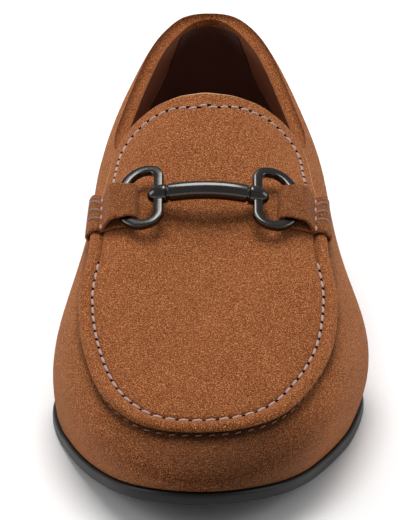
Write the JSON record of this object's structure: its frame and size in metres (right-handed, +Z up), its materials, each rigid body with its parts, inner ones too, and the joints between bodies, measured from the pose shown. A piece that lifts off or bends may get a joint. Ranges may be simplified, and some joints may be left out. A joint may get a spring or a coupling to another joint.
{
  "type": "bit loafer",
  "caption": "Low slip-on loafer of suede with a raised apron seam, a stitched tongue over the instep and a metal bit of two rings and a bar held by leather tabs.",
  "frame": {"origin": "on the floor under the middle of the shoe's length and width, where the top piece and the forefoot stand", "axes": "+Z up; the toe points to -Y and the heel to +Y; +X is the outer (lateral) side of this left shoe"},
  "size_m": [0.1116, 0.3002, 0.0928],
  "materials": {
    "suede": "brown suede, matt, with nap",
    "sole_rubber": "black, satin",
    "insole_leather": "brown smooth leather",
    "gunmetal": "dark polished metal"
  },
  "bodies": {
    "root": {"outsole": "sole_rubber", "heel": "sole_rubber", "top_piece": "sole_rubber", "insole": "insole_leather", "upper": "suede", "apron": "suede", "tab_medial": "suede", "tab_lateral": "suede", "bit_ring_medial": "gunmetal", "bit_ring_lateral": "gunmetal", "bit_bar": "gunmetal"}
  },
  "joints": []
}
